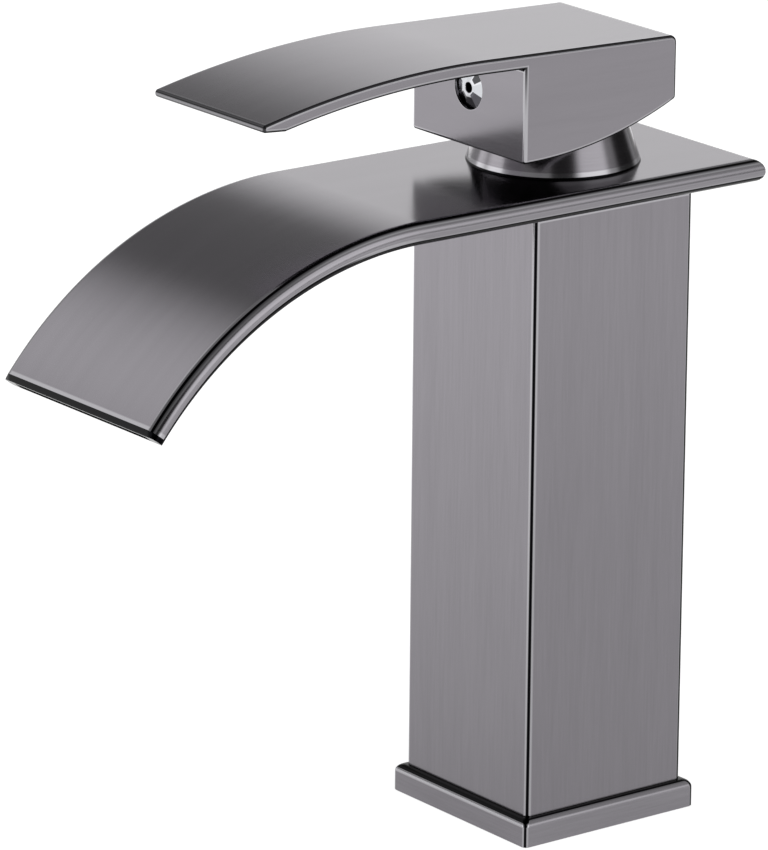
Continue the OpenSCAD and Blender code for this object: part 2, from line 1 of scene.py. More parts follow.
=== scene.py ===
# %% [markdown]
# # A single-lever basin tap in brushed gunmetal
#
# This lesson dresses a finished CAD model of a basin tap. The CAD part fixes every size and every joint.
# Blender adds what a CAD solid lacks: soft edges, smooth curves, brushed metal and studio light.
# All lengths below are written in millimetres, because that is how a tap is drawn, and a helper turns them
# into Blender's metres. The deck is at height 0, the spout and the lever point to -Y, and the tap's shape is
# the same on both sides of the plane X = 0.

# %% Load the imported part
import json
from math import cos, pi, radians, sin, sqrt

import bmesh
import bpy
from mathutils import Matrix, Vector


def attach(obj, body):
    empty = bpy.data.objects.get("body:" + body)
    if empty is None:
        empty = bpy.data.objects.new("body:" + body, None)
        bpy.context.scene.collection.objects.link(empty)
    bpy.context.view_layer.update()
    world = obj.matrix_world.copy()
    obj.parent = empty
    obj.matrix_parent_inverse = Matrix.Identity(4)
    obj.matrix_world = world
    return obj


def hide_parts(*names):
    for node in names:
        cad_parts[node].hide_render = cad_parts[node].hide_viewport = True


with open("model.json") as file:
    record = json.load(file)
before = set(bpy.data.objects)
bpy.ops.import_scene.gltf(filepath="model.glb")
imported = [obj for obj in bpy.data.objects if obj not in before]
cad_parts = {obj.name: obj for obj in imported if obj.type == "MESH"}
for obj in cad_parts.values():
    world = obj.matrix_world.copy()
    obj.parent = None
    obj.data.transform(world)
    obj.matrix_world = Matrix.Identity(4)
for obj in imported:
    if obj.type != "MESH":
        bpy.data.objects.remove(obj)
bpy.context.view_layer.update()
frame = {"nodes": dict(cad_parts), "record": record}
nodes = frame["nodes"]

# %% [markdown]
# ## Sizes
#
# The outside sizes are those of the CAD part. Those of the base, the column and the spout are kept together
# here, so that each piece can be read against a drawing of the tap. The trim ring, the lever and the screw
# bring their own sizes, where they are made.

# %% The tap's sizes, in millimetres
MM = 0.001
BASE_W, BASE_H, BASE_ROUND, BASE_RIM, BASE_CORNER = 50.0, 6.5, 1.8, 3.8, 1.2
SEAL_W, SEAL_T = 1.8, 1.4
COLUMN_W, COLUMN_TOP, COLUMN_WALL, COLUMN_CORNER = 45.6, 148.25, 2.8, 1.4
SPOUT_W, SPOUT_LOW, SPOUT_TOP, SPOUT_BACK = 57.7, 148.85, 154.15, 38.9
BEND_FRONT, FALL_R, FALL_ANGLE = 58.0, 93.5, 51.5
SEAM_DEPTH, EDGE_R, LOW_EDGE_R = 3.0, 2.65, 2.3
UNDER_R_LESS, UNDER_DROP = 3.2, 2.1
CHANNEL_W, CHANNEL_ROOF, CHANNEL_FLOOR = 50.0, 1.4, 3.7
CHANNEL_BACK, NECK_HOLE_R, LAND_W = 13.6, 15.8, 1.6
DUCT_AT, DUCT_D = 16.4, 5.6

# %% [markdown]
# ## Small tools
#
# Colours are written as sRGB hex values, as a paint chart gives them, and turned to linear light once.
# Every node of every material and every Geometry Nodes tree is added by one small function, so that the
# lines that call it read like the node's own panel: its kind, its settings, and what is plugged into it.

# %% Colour and node helpers
def linear(colour):
    """Turns an sRGB hex value into the linear colour that shaders work with."""
    parts = [int(colour[i:i + 2], 16) / 255 for i in (1, 3, 5)]
    return [p / 12.92 if p <= 0.04045 else ((p + 0.055) / 1.055) ** 2.4 for p in parts] + [1.0]


def add(tree, kind, inputs=(), **settings):
    """Adds a node with its settings, and sets or links its inputs by name or number."""
    node = tree.nodes.new(kind)
    for name, value in settings.items():
        setattr(node, name, value)
    for key, value in dict(inputs).items():
        if isinstance(value, bpy.types.NodeSocket):
            tree.links.new(value, node.inputs[key])
        else:
            node.inputs[key].default_value = value
    return node


print("mid grey is", [round(c, 3) for c in linear("#808080")[:3]], "in linear light")

# %% [markdown]
# ## Making meshes
#
# Nearly every piece of a tap is a section that is carried along something: round a square, round an axis, or
# along a path. One function is enough for all of them. It joins rows of points, each with the same number
# of points, by quads. The rows either close into a ring or end in flat caps. A point may carry a fourth
# number, its edge mark, which the metal's material reads later as painted light and shade: 0 on a face, 1
# where an edge's painted shade is darkest.

# %% The loft and its rows
SAME_POINT = 0.0005


def loft(name, rows, ring=False):
    """Joins rows of points, in millimetres, into a closed mesh, and returns its object."""
    count = len(rows[0])
    mesh = bpy.data.meshes.new(name)
    faces = []
    for i in range(len(rows) if ring else len(rows) - 1):
        here, there = i * count, (i + 1) % len(rows) * count
        for j in range(count):
            k = (j + 1) % count
            faces.append((here + j, here + k, there + k, there + j))
    if not ring:
        faces += [tuple(range(count))[::-1], tuple(range((len(rows) - 1) * count, len(rows) * count))]
    mesh.from_pydata([Vector(p[:3]) * MM for row in rows for p in row], [], faces)
    # The edge mark: 0 to about 0.2 paints a highlight, and higher values paint shade and reflection.
    marks = mesh.attributes.new("painted_edge_light_and_shade", "FLOAT", "POINT")
    marks.data.foreach_set("value", [p[3] if len(p) > 3 else 0.0 for row in rows for p in row])
    piece = bpy.data.objects.new(name, mesh)
    bpy.context.scene.collection.objects.link(piece)
    tidy = bmesh.new()
    tidy.from_mesh(mesh)
    bmesh.ops.remove_doubles(tidy, verts=tidy.verts, dist=SAME_POINT * MM)
    bmesh.ops.recalc_face_normals(tidy, faces=tidy.faces)
    tidy.to_mesh(mesh)
    tidy.free()
    return piece


def round_row(radius, height, centre=(0, 0), points=96):
    """A circle round the upright axis."""
    turns = [2 * pi * i / points for i in range(points)]
    return [(centre[0] + radius * cos(a), centre[1] + radius * sin(a), height) for a in turns]


STEEP_RISE, GENTLE_RISE = (12, 1), (1, 1.6)


def square_row(half_width, height, corner=0.0, mark=0.0, steps=8):
    """A square round the upright axis, with round corners.

    The mark rises across each corner: at once at the rear right one, and gently at the other three. Where it
    is low it paints a thin highlight, and where it is high a dark line of painted shade and reflection. Each
    rise is a factor and a power.
    """
    row = []
    for quarter in range(4):
        factor, power = STEEP_RISE if quarter == 0 else GENTLE_RISE
        middle = (quarter + 0.5) * pi / 2
        cx, cy = (sqrt(2) * (half_width - corner) * f(middle) for f in (cos, sin))
        for i in range(steps + 1):
            a = (quarter + i / steps) * pi / 2
            across_corner = min(1, factor * (1 - abs(2 * i / steps - 1)) ** power) if corner else 0.0
            row.append((cx + corner * cos(a), cy + corner * sin(a), height, max(mark, across_corner)))
    return row


def arc(cx, cy, radius, first, last, steps):
    """Points on an arc, with its angles in degrees."""
    turns = [radians(first + (last - first) * i / steps) for i in range(steps + 1)]
    return [(cx + radius * cos(a), cy + radius * sin(a)) for a in turns]


# %% [markdown]
# Holes and hollows are cut with the Boolean modifier, as a drill or a mill would cut them. A cutter reaches a
# little past the faces that it cuts, so that no two faces coincide. The result is baked into a plain mesh at
# once, so that no cutter is left in the scene.

# %% Cutting and baking
PAST = 1.0


def bake(piece):
    """Turns the evaluated piece, with its modifiers, into a plain mesh."""
    bpy.context.view_layer.update()
    evaluated = piece.evaluated_get(bpy.context.evaluated_depsgraph_get())
    plain = bpy.data.meshes.new_from_object(evaluated)
    piece.modifiers.clear()
    piece.data = plain
    return piece


def cut(piece, others):
    """Cuts the other solids out of the piece."""
    for other in others:
        modifier = piece.modifiers.new("cut", "BOOLEAN")
        modifier.operation = "DIFFERENCE"
        modifier.solver = "EXACT"
        modifier.object = other
        bake(piece)
        bpy.data.objects.remove(other)
    return piece


# %% [markdown]
# A brushed and plated part has no knife-sharp edges. Polishing rounds each one by some tenths of a
# millimetre. The material paints the line of the edge dark, as painted shade and reflection, with a thin
# painted highlight beside it. The bevel gives the shape. The edge-mark attribute rises from
# the bevel's borders to its middle, through the values in `marks`, and the material reads it.

# %% Softened edges
# The marks set here are painted light and shade: a highlight where they are low, shade and reflection where
# they are high.
def soften(piece, width, steps=8, sharper_than=32, rim=0.0, marks=(0.0, 0.25, 0.5, 0.75, 1.0)):
    """Rounds the sharp edges by a width in millimetres and marks them for the material.

    marks runs from a bevel's border to its middle. A rim is a strip beside the bevel, over which the mark
    falls to 0: from the first of marks and over the rim's whole width on a face that looks up, and from the
    second and over a quarter of that width on any other.
    """
    merge, sliver, looks_up_from = 0.002 * MM, 0.001 * MM, 0.8
    work = bmesh.new()
    work.from_mesh(piece.data)
    bmesh.ops.remove_doubles(work, verts=work.verts, dist=merge)
    bmesh.ops.dissolve_degenerate(work, dist=sliver, edges=work.edges)
    mark = work.verts.layers.float.get("painted_edge_light_and_shade") or work.verts.layers.float.new("painted_edge_light_and_shade")
    sharp = [e for e in work.edges if len(e.link_faces) == 2 and e.calc_face_angle(0) > radians(sharper_than)]
    made = bmesh.ops.bevel(work, geom=sharp, offset=width * MM, offset_type="OFFSET", segments=steps,
                           profile=0.5, affect="EDGES", clamp_overlap=True)
    strips = set(made["faces"])
    wide_enough = rim * MM / 2
    flats = [f for f in work.faces
             if rim and f not in strips and f.calc_area() > wide_enough * f.calc_perimeter()]
    border = {}
    for looks_up in (True, False):
        group = [face for face in flats if (face.normal.z > looks_up_from) == looks_up]
        inset = bmesh.ops.inset_region(work, faces=group, thickness=rim * MM / (1 if looks_up else 4),
                                       use_even_offset=True)
        border.update({vert: marks[not looks_up] for face in inset["faces"] for vert in face.verts})
    points = {v for face in strips for v in face.verts}
    level = {v: 0 for v in points if any(face not in strips for face in v.link_faces)}
    front = list(level)
    while front:
        ahead = []
        for vert in front:
            for edge in vert.link_edges:
                other = edge.other_vert(vert)
                if other in points and other not in level:
                    level[other] = level[vert] + 1
                    ahead.append(other)
        front = ahead
    for vert, depth in level.items():
        share = marks[min(round(depth * (len(marks) - 1) / (steps / 2)), len(marks) - 1)]
        vert[mark] = max(vert[mark], share if depth else border.get(vert, 0.0))
    work.to_mesh(piece.data)
    work.free()
    print(piece.name, "edges rounded:", len(sharp), "faces:", len(piece.data.polygons))
    return piece


SHARP_FROM, FACE_WEIGHT = 40, 100


def smooth(piece):
    """Shades smoothly, with the large flat faces kept flat and the square edges kept sharp."""
    piece.data.shade_smooth()
    piece.data.set_sharp_from_angle(angle=radians(SHARP_FROM))
    modifier = piece.modifiers.new("normals", "WEIGHTED_NORMAL")
    modifier.weight = FACE_WEIGHT
    modifier.keep_sharp = True
    return bake(piece)


def finish_piece(piece, material, body, slot, *replaced):
    """Gives a piece its material, the body that it rides on and the CAD nodes it stands for; slot is not used.
    """
    if not piece.data.materials:
        piece.data.materials.append(material)
    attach(piece, body)
    if replaced:
        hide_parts(*replaced)
    low = [round(min(v.co[i] for v in piece.data.vertices) / MM, 2) for i in range(3)]
    high = [round(max(v.co[i] for v in piece.data.vertices) / MM, 2) for i in range(3)]
    print(piece.name, "from", low, "to", high, "mm")
    return piece


# %% [markdown]
# ## Brushed gunmetal
#
# The tap is brass that was brushed with a fine abrasive belt and then given a dark grey metal coat. The coat
# is a thin metal film, so it is fully metallic, and the brushing gives it a soft, satin reflection instead
# of a mirror image. The eye sees it as fine parallel lines and a faint cloudiness where the belt pressed
# harder. Its edges stand out as dark lines, which the material paints from the edge marks as painted shade
# and reflection, with a thin painted highlight beside them. The lines run along each piece, and on a box they
# turn with the face: the material looks at the normal, and brushes level and upright faces each in its own
# direction.
# The brush lines are a noise pattern that is squeezed across the brushing and stretched along it. Real belt
# marks are about 0.05 mm wide. That is too fine to show in the picture, so they are drawn 0.5 mm wide.

# %% The brushed material
BRUSH_LINE, BRUSH_RUN = 0.5, 14.0
CLOUD_WIDE, CLOUD_LONG, CLOUD_DEPTH = 5.0, 60.0, 0.1
# The colours of the painted highlight beside an edge and of the painted shade along its middle.
EDGE_PAINTED_HIGHLIGHT, EDGE_PAINTED_SHADE, LIGHT_SHARE = linear("#c4c3c7"), linear("#0c0c0e"), 0.6
LIGHT_BY, DARK_FROM, DARK_BY = 0.2, 0.4, 0.65
ROUGH_SPREAD, BRUSH_BUMP, BRUSH_HEIGHT = 0.05, 0.05, 0.02
UPRIGHT_BELOW, NOISE_ROUGHNESS, LINE_DETAIL, CLOUD_DETAIL = 0.5, 0.6, 3.0, 1.0


def brushed_gunmetal(name, colour, run, upright_run, roughness=0.17, depth=0.2):
    """run and upright_run say which of X, Y and Z the brushing is fine across, on level and on upright faces.

    An edge gets a painted highlight as its mark goes from 0 to LIGHT_BY, and painted shade from DARK_FROM to
    DARK_BY.
    """
    material = bpy.data.materials.new(name)
    material.use_nodes = True
    tree = material.node_tree
    tree.nodes.clear()
    place = add(tree, "ShaderNodeTexCoord")
    facing = add(tree, "ShaderNodeSeparateXYZ", {0: place.outputs["Normal"]})
    upward = add(tree, "ShaderNodeMath", {0: facing.outputs["Z"]}, operation="ABSOLUTE")
    upright = add(tree, "ShaderNodeMath", {0: upward.outputs[0], 1: UPRIGHT_BELOW}, operation="LESS_THAN")

    def pattern(fine, coarse, detail):
        scales = [[1 / ((fine if axis in way else coarse) * MM) for axis in "XYZ"]
                  for way in (run, upright_run)]
        scale = add(tree, "ShaderNodeMix", {0: upright.outputs[0], 4: scales[0], 5: scales[1]},
                    data_type="VECTOR")
        squeezed = add(tree, "ShaderNodeVectorMath", {0: place.outputs["Object"], 1: scale.outputs[1]},
                       operation="MULTIPLY")
        return add(tree, "ShaderNodeTexNoise", {"Vector": squeezed.outputs[0], "Scale": 1.0, "Detail": detail,
                                                "Roughness": NOISE_ROUGHNESS}).outputs["Fac"]

    lines = pattern(BRUSH_LINE, BRUSH_RUN, LINE_DETAIL)
    clouds = pattern(CLOUD_WIDE, CLOUD_LONG, CLOUD_DETAIL)
    tone = add(tree, "ShaderNodeMath", {0: lines, 1: depth, 2: -depth / 2}, operation="MULTIPLY_ADD")
    cloud_tone = add(tree, "ShaderNodeMath", {0: clouds, 1: CLOUD_DEPTH, 2: -CLOUD_DEPTH / 2},
                     operation="MULTIPLY_ADD")
    both = add(tree, "ShaderNodeMath", {0: tone.outputs[0], 1: cloud_tone.outputs[0]})
    level = add(tree, "ShaderNodeMath", {0: both.outputs[0], 1: 1.0})
    base = add(tree, "ShaderNodeVectorMath", {0: linear(colour)[:3], "Scale": level.outputs[0]},
               operation="SCALE")
    mark = add(tree, "ShaderNodeAttribute", attribute_name="painted_edge_light_and_shade").outputs["Fac"]
    # Painted highlight beside an edge.
    light = add(tree, "ShaderNodeMapRange", {"Value": mark, "From Min": 0.0, "From Max": LIGHT_BY,
                                             "To Min": 0.0, "To Max": LIGHT_SHARE},
                interpolation_type="SMOOTHSTEP")
    # Painted shade and reflection along an edge's middle.
    dark = add(tree, "ShaderNodeMapRange", {"Value": mark, "From Min": DARK_FROM, "From Max": DARK_BY,
                                            "To Min": 0.0, "To Max": 1.0},
               interpolation_type="SMOOTHSTEP")
    lit = add(tree, "ShaderNodeMix", {"Factor": light.outputs[0], 6: base.outputs[0], 7: EDGE_PAINTED_HIGHLIGHT},
              data_type="RGBA")
    lined = add(tree, "ShaderNodeMix", {"Factor": dark.outputs[0], 6: lit.outputs[2], 7: EDGE_PAINTED_SHADE},
                data_type="RGBA")
    rough = add(tree, "ShaderNodeMath", {0: lines, 1: ROUGH_SPREAD, 2: roughness - ROUGH_SPREAD / 2},
                operation="MULTIPLY_ADD")
    bump = add(tree, "ShaderNodeBump", {"Height": lines, "Strength": BRUSH_BUMP,
                                        "Distance": BRUSH_HEIGHT * MM})
    shader = add(tree, "ShaderNodeBsdfPrincipled", {
        "Base Color": lined.outputs[2], "Metallic": 1.0, "Roughness": rough.outputs[0],
        "Normal": bump.outputs[0]})
    add(tree, "ShaderNodeOutputMaterial", {"Surface": shader.outputs[0]})
    return material


GUNMETAL = "#8b888d"
upright_brush = brushed_gunmetal("brushed_gunmetal_upright", GUNMETAL, "XY", "XY")
long_brush = brushed_gunmetal("brushed_gunmetal_lengthwise", GUNMETAL, "X", "Z", depth=0.1)
level_brush = brushed_gunmetal("brushed_gunmetal_level", GUNMETAL, "X", "Z", depth=0.3)
turned_brush = brushed_gunmetal("brushed_gunmetal_turned", GUNMETAL, "Z", "Z")
print("brush lines", BRUSH_LINE, "mm wide and about", BRUSH_RUN, "mm long")

# %% [markdown]
# ## Base plate
#
# The base is a flat square plate with round top edges and a square opening for the column's foot. Under it
# runs a groove for the seal. It could be a cube with a bevel, but the groove and the opening are squares as
# well, so one loft of squares, from the inside to the outside, gives the plate in one go.
# The narrow top between the edge and the column is painted black by the marks, as painted shade between the
# plate and the column, with the part of the round edge that turns over on to it. On the outer part of the
# round edge the marks paint a thin highlight. The rim on the right is plain, so its painted shade is cleared
# afterwards, except close to its corners.

# %% Base plate
FOOT_EASE, PLAIN_RIM, PLAIN_MARK, KEPT_CORNER = 0.2, 1.1, 0.05, 1.1
ROUND_MARKS = (0, 0.25, 0.3, 0.35, 1, 1, 1, 1, 1)
half, opening = BASE_W / 2, BASE_W / 2 - BASE_RIM
groove = (half + opening) / 2
# Each row of the profile is a half width, a height and a mark.
base_profile = [(opening, 0, 0), (groove - SEAL_W / 2, 0, 0), (groove - SEAL_W / 2, SEAL_T, 0),
                (groove + SEAL_W / 2, SEAL_T, 0), (groove + SEAL_W / 2, 0, 0),
                (half - FOOT_EASE, 0, 0), (half, FOOT_EASE, 0)]
top_round = arc(half - BASE_ROUND, BASE_H - BASE_ROUND, BASE_ROUND, 0, 90, len(ROUND_MARKS) - 1)
base_profile += [(w, z, mark) for (w, z), mark in zip(top_round, ROUND_MARKS)]
base_profile += [(COLUMN_W / 2, BASE_H, 1), (opening, BASE_H, 1)]
base_plate = loft("base_plate_brushed", [square_row(w, z, BASE_CORNER, mark) for w, z, mark in base_profile],
                  ring=True)
for point, mark in zip(base_plate.data.vertices, base_plate.data.attributes["painted_edge_light_and_shade"].data):
    x, y, z = (c / MM for c in point.co)
    if x > half - PLAIN_RIM and abs(y) < x - KEPT_CORNER:
        mark.value = PLAIN_MARK
smooth(base_plate)
finish_piece(base_plate, level_brush, "tap_body", "brushed_gunmetal", "base_plate")

# %% [markdown]
# ## Column
#
# The column is a drawn square tube. Its corners have a radius of 1.4 mm, and the marks paint each one as a
# thin dark line of painted shade and reflection with a thin painted highlight beside it, the strongest line in
# the picture. A black line of painted shade also runs round its top, under the spout, with a thin painted
# highlight below it.
# Like the base it is one loft of squares. Each row below gives how far it lies inside the outside face, its
# height and its mark.

# %% Column
END_EASE = 0.1
inner = COLUMN_W / 2 - COLUMN_WALL
outside = [(END_EASE, BASE_H, 0.0), (0.0, BASE_H + END_EASE, 0.0)]
# The top rows paint a thin highlight and then a black line of shade under the spout.
outside += [(0.0, COLUMN_TOP - below, mark) for below, mark in
            ((1.3, 0.0), (1.0, 0.25), (0.7, 0.25), (0.5, 1.0), (END_EASE, 1.0))]
outside.append((END_EASE, COLUMN_TOP, 1.0))
column_rows = [square_row(inner, BASE_H)]
column_rows += [square_row(COLUMN_W / 2 - ease, z, COLUMN_CORNER, mark) for ease, z, mark in outside]
column = loft("column_tube_brushed", column_rows + [square_row(inner, COLUMN_TOP)], ring=True)
smooth(column)
finish_piece(column, upright_brush, "tap_body", "brushed_gunmetal", "column")

# %% [markdown]
# ## Spout
#
# The spout is two shells, one on the other, with the water channel between them. Both follow one rule: flat
# over the column, then a fall along an arc. So each shell is first made as a straight plate, with its round
# edges, its openings and the channel, in which all cuts are easy to place. Geometry Nodes then bend the
# plate: a point that lies a distance beyond the bend is carried round the arc by that distance.
# Along the rear edge the rounding meets that of the sides in a mitre. The rows there are cut off lower and
# lower, which gives the mitre without any cutting. At the tip the edge is cut off at a slant, as a lip.
# The marks paint the black lines along the edges and at the lip, as painted shade and reflection, and the thin
# light line on the upper edge, as a painted highlight. The lower edge is painted black further round along the
# fall, so its marks are blended over the first 40 mm of it.

# %% The straight plates
FLAT_STATIONS, FALL_STEPS, ROUND_STEPS = [-20.0, 0.0, 20.0, 40.0], 52, 10
SEAM_EASE, LIP, LIP_CUT, FALL_EASE = 0.04, 1.2, 0.9, 40.0
UPPER_MARKS = (0.0, 0.2, 0.3, 1.0, 0.57, 0.48) + (0.05,) * 5
LOWER_MARKS = (1.0,) * 8 + (0.1, 0.05, 0.05)
FALL_MARKS = (1.0,) * 10 + (0.3,)


def stations():
    """Distances along the spout, from the rear to the tip, with the rounding's own steps left out."""
    bent = radians(FALL_ANGLE) * FALL_R
    return FLAT_STATIONS + [BEND_FRONT + bent * i / FALL_STEPS for i in range(FALL_STEPS + 1)]


def tip_rows(upper):
    """The end of a shell: each row's distance, the depth that it is cut off to, and its least mark."""
    end = stations()[-1]
    rows = [(end - LIP, 0.0, 0.0), (end - LIP / 2, 0.0, 0.25), (end - LIP / 8, 0.0, 0.3), (end, 0.0, 1.0),
            (end + LIP, LIP_CUT, 1.0)]
    return [plate_row(distance, cut_depth, upper, least=mark) for distance, cut_depth, mark in rows]


def plate_row(distance, cut_depth, upper, mitre=None, least=0.0):
    """One section of a shell: x, minus the distance, the height and the edge mark.

    Up to the step mitre, the rounding has that step's mark. No mark is lower than least.
    """
    half_w = SPOUT_W / 2
    fallen = min(max((distance - BEND_FRONT) / FALL_EASE, 0), 1)
    blended = [low + (fall - low) * fallen for low, fall in zip(LOWER_MARKS, FALL_MARKS)]
    r, marks = (EDGE_R, UPPER_MARKS) if upper else (LOW_EDGE_R, blended)
    seam = SEAM_DEPTH if upper else SPOUT_TOP - SPOUT_LOW - SEAM_DEPTH
    side = []
    for i in range(ROUND_STEPS + 1):
        a = pi / 2 * (1 - i / ROUND_STEPS)
        depth = min(max(r - r * sin(a), cut_depth), seam - SEAM_EASE)
        mark = marks[i] if mitre is None or i > mitre else marks[mitre]
        side.append((half_w - r + r * cos(a), depth, max(least, mark)))
    side.append((half_w, seam, least))
    if not upper:
        side = [(x, SPOUT_TOP - SPOUT_LOW - d, mark) for x, d, mark in side]
    outline = side + [(-x, d, mark) for x, d, mark in reversed(side)]
    return [(x, -distance, SPOUT_TOP - d, mark) for x, d, mark in outline]


def straight_plate(name, upper):
    """A whole shell: the rounding of its rear edge, its length and its tip."""
    r = EDGE_R if upper else LOW_EDGE_R
    rows = []
    for j in range(ROUND_STEPS + 1):
        a = pi / 2 * j / ROUND_STEPS
        rows.append(plate_row(r - r * cos(a) - SPOUT_BACK, r - r * sin(a), upper, ROUND_STEPS - j))
    return loft(name, rows + [plate_row(s, 0, upper) for s in stations()[:-1]] + tip_rows(upper))


def channel_cutter():
    """The water channel as a straight solid, with a land left round the opening."""
    half_w = CHANNEL_W / 2
    box = [(half_w, CHANNEL_ROOF), (-half_w, CHANNEL_ROOF), (-half_w, CHANNEL_FLOOR), (half_w, CHANNEL_FLOOR)]
    places = [CHANNEL_BACK] + [s for s in stations() if s > CHANNEL_BACK]
    places[-1] += 2 * LIP
    cutter = loft("channel", [[(x, -s, SPOUT_TOP - d) for x, d in box] for s in places])
    land = loft("land", [round_row(NECK_HOLE_R + LAND_W, z) for z in (SPOUT_LOW - PAST, SPOUT_TOP + PAST)])
    return cut(cutter, [land])


def cylinder(radius, low, high, centre=(0, 0)):
    return loft("cutter", [round_row(radius, low, centre), round_row(radius, high, centre)])


def neck_cutter():
    return cylinder(NECK_HOLE_R, SPOUT_LOW - 2 * PAST, SPOUT_TOP + 2 * PAST)


upper_shell = straight_plate("spout_top_brushed", True)
cut(upper_shell, [channel_cutter(), neck_cutter()])
lower_shell = straight_plate("spout_bottom_brushed", False)
ducts = [cylinder(DUCT_D / 2, SPOUT_LOW - PAST, SPOUT_TOP, (x, -DUCT_AT)) for x in (-DUCT_AT, DUCT_AT)]
cut(lower_shell, [channel_cutter(), neck_cutter()] + ducts)
# The lip's end faces are painted black, as painted shade at the slot.
for shell in (upper_shell, lower_shell):
    for point, mark in zip(shell.data.vertices, shell.data.attributes["painted_edge_light_and_shade"].data):
        if point.co.y / MM < -stations()[-1] - LIP / 2:
            mark.value = 1.0

# %% [markdown]
# The rule of the bend is written as nodes. The angle of a point is its distance beyond the bend, divided by
# the fall's radius. The underside is not quite concentric with the top, so the shell gets thinner towards
# the tip: whatever lies below the seam is drawn towards it by a factor that follows the cosine of the angle.

# %% The bend as Geometry Nodes
def socket_id(tree, name):
    return next(item.identifier for item in tree.interface.items_tree if item.name == name)


BEND_STEPS = [
    ("along", "MULTIPLY", "Y", -1.0),
    ("past bend", "SUBTRACT", "along", "Bend start"),
    ("beyond", "MAXIMUM", "past bend", 0.0),
    ("angle", "DIVIDE", "beyond", "Fall radius"),
    ("cosine", "COSINE", "angle", 0.0),
    ("sine", "SINE", "angle", 0.0),
    ("depth", "SUBTRACT", "Top height", "Z"),
    ("drop", "MULTIPLY", "Under drop", "cosine"),
    ("thickness here", "ADD", "drop", "Under radius less"),
    ("lower part here", "SUBTRACT", "thickness here", "Seam depth"),
    ("lower part", "SUBTRACT", "Thickness", "Seam depth"),
    ("factor", "DIVIDE", "lower part here", "lower part"),
    ("past seam", "SUBTRACT", "depth", "Seam depth"),
    ("below", "MAXIMUM", "past seam", 0.0),
    ("above", "MINIMUM", "depth", "Seam depth"),
    ("drawn in", "MULTIPLY", "below", "factor"),
    ("new depth", "ADD", "above", "drawn in"),
    ("radius", "SUBTRACT", "Fall radius", "new depth"),
    ("forward", "MULTIPLY", "radius", "sine"),
    ("on the flat", "MINIMUM", "along", "Bend start"),
    ("reach", "ADD", "forward", "on the flat"),
    ("new y", "MULTIPLY", "reach", -1.0),
    ("upward", "MULTIPLY", "radius", "cosine"),
    ("centre", "SUBTRACT", "Top height", "Fall radius"),
    ("new z", "ADD", "upward", "centre"),
]


def bend_tree():
    tree = bpy.data.node_groups.new("spout bend", "GeometryNodeTree")
    tree.interface.new_socket("Geometry", in_out="OUTPUT", socket_type="NodeSocketGeometry")
    tree.interface.new_socket("Geometry", in_out="INPUT", socket_type="NodeSocketGeometry")
    for name in ("Bend start", "Fall radius", "Top height", "Seam depth", "Thickness", "Under radius less",
                 "Under drop"):
        tree.interface.new_socket(name, in_out="INPUT", socket_type="NodeSocketFloat")
    tree.interface.new_socket("Material", in_out="INPUT", socket_type="NodeSocketMaterial")
    given = add(tree, "NodeGroupInput").outputs

    place = add(tree, "ShaderNodeSeparateXYZ", {0: add(tree, "GeometryNodeInputPosition").outputs[0]}).outputs
    value = {"X": place["X"], "Y": place["Y"], "Z": place["Z"]}
    value.update({socket.name: socket for socket in given})
    for result, operation, a, b in BEND_STEPS:
        pair = {i: value.get(term, term) for i, term in enumerate((a, b))}
        value[result] = add(tree, "ShaderNodeMath", pair, operation=operation).outputs[0]
    bent = add(tree, "ShaderNodeCombineXYZ", {0: value["X"], 1: value["new y"], 2: value["new z"]})
    moved = add(tree, "GeometryNodeSetPosition", {"Geometry": given["Geometry"], "Position": bent.outputs[0]})
    real = add(tree, "GeometryNodeRealizeInstances", {0: moved.outputs[0]})
    painted = add(tree, "GeometryNodeSetMaterial", {"Geometry": real.outputs[0],
                                                    "Material": given["Material"]})
    add(tree, "NodeGroupOutput", {0: painted.outputs[0]})
    return tree


def through_nodes(piece, tree, values):
    """Runs a piece through a node tree with the given inputs, and bakes the result."""
    modifier = piece.modifiers.new(tree.name, "NODES")
    modifier.node_group = tree
    for name, value in values.items():
        modifier[socket_id(tree, name)] = value
    return bake(piece)


spout_bend = bend_tree()
for shell in (upper_shell, lower_shell):
    through_nodes(shell, spout_bend, {
        "Bend start": BEND_FRONT * MM, "Fall radius": FALL_R * MM, "Top height": SPOUT_TOP * MM,
        "Seam depth": SEAM_DEPTH * MM, "Thickness": (SPOUT_TOP - SPOUT_LOW) * MM,
        "Under radius less": UNDER_R_LESS * MM, "Under drop": UNDER_DROP * MM, "Material": long_brush})
    smooth(shell)
print("spout reaches", round(BEND_FRONT + FALL_R * sin(radians(FALL_ANGLE)), 2), "mm in front of the axis")

# %% [markdown]
# Inside the channel, five thin ribs guide the water, so that it leaves the slot as one even sheet. Equal
# ribs at an even spacing are what instances are for: one rib, a row of points, and a copy on each.

# %% Guide ribs
RIB_COUNT, RIB_T, RIB_L, RIB_STEPS = 5, 1.0, 24.0, 6


def rib_tree():
    tree = bpy.data.node_groups.new("guide ribs", "GeometryNodeTree")
    tree.interface.new_socket("Geometry", in_out="OUTPUT", socket_type="NodeSocketGeometry")
    tree.interface.new_socket("Geometry", in_out="INPUT", socket_type="NodeSocketGeometry")
    tree.interface.new_socket("Count", in_out="INPUT", socket_type="NodeSocketInt")
    for name in ("First", "Pitch"):
        tree.interface.new_socket(name, in_out="INPUT", socket_type="NodeSocketVector")
    tree.interface.new_socket("Material", in_out="INPUT", socket_type="NodeSocketMaterial")
    given = add(tree, "NodeGroupInput").outputs
    row = add(tree, "GeometryNodeMeshLine", {"Count": given["Count"], "Start Location": given["First"],
                                             "Offset": given["Pitch"]})
    ribs = add(tree, "GeometryNodeInstanceOnPoints", {"Points": row.outputs[0],
                                                      "Instance": given["Geometry"]})
    real = add(tree, "GeometryNodeRealizeInstances", {0: ribs.outputs[0]})
    painted = add(tree, "GeometryNodeSetMaterial", {"Geometry": real.outputs[0],
                                                    "Material": given["Material"]})
    add(tree, "NodeGroupOutput", {0: painted.outputs[0]})
    return tree


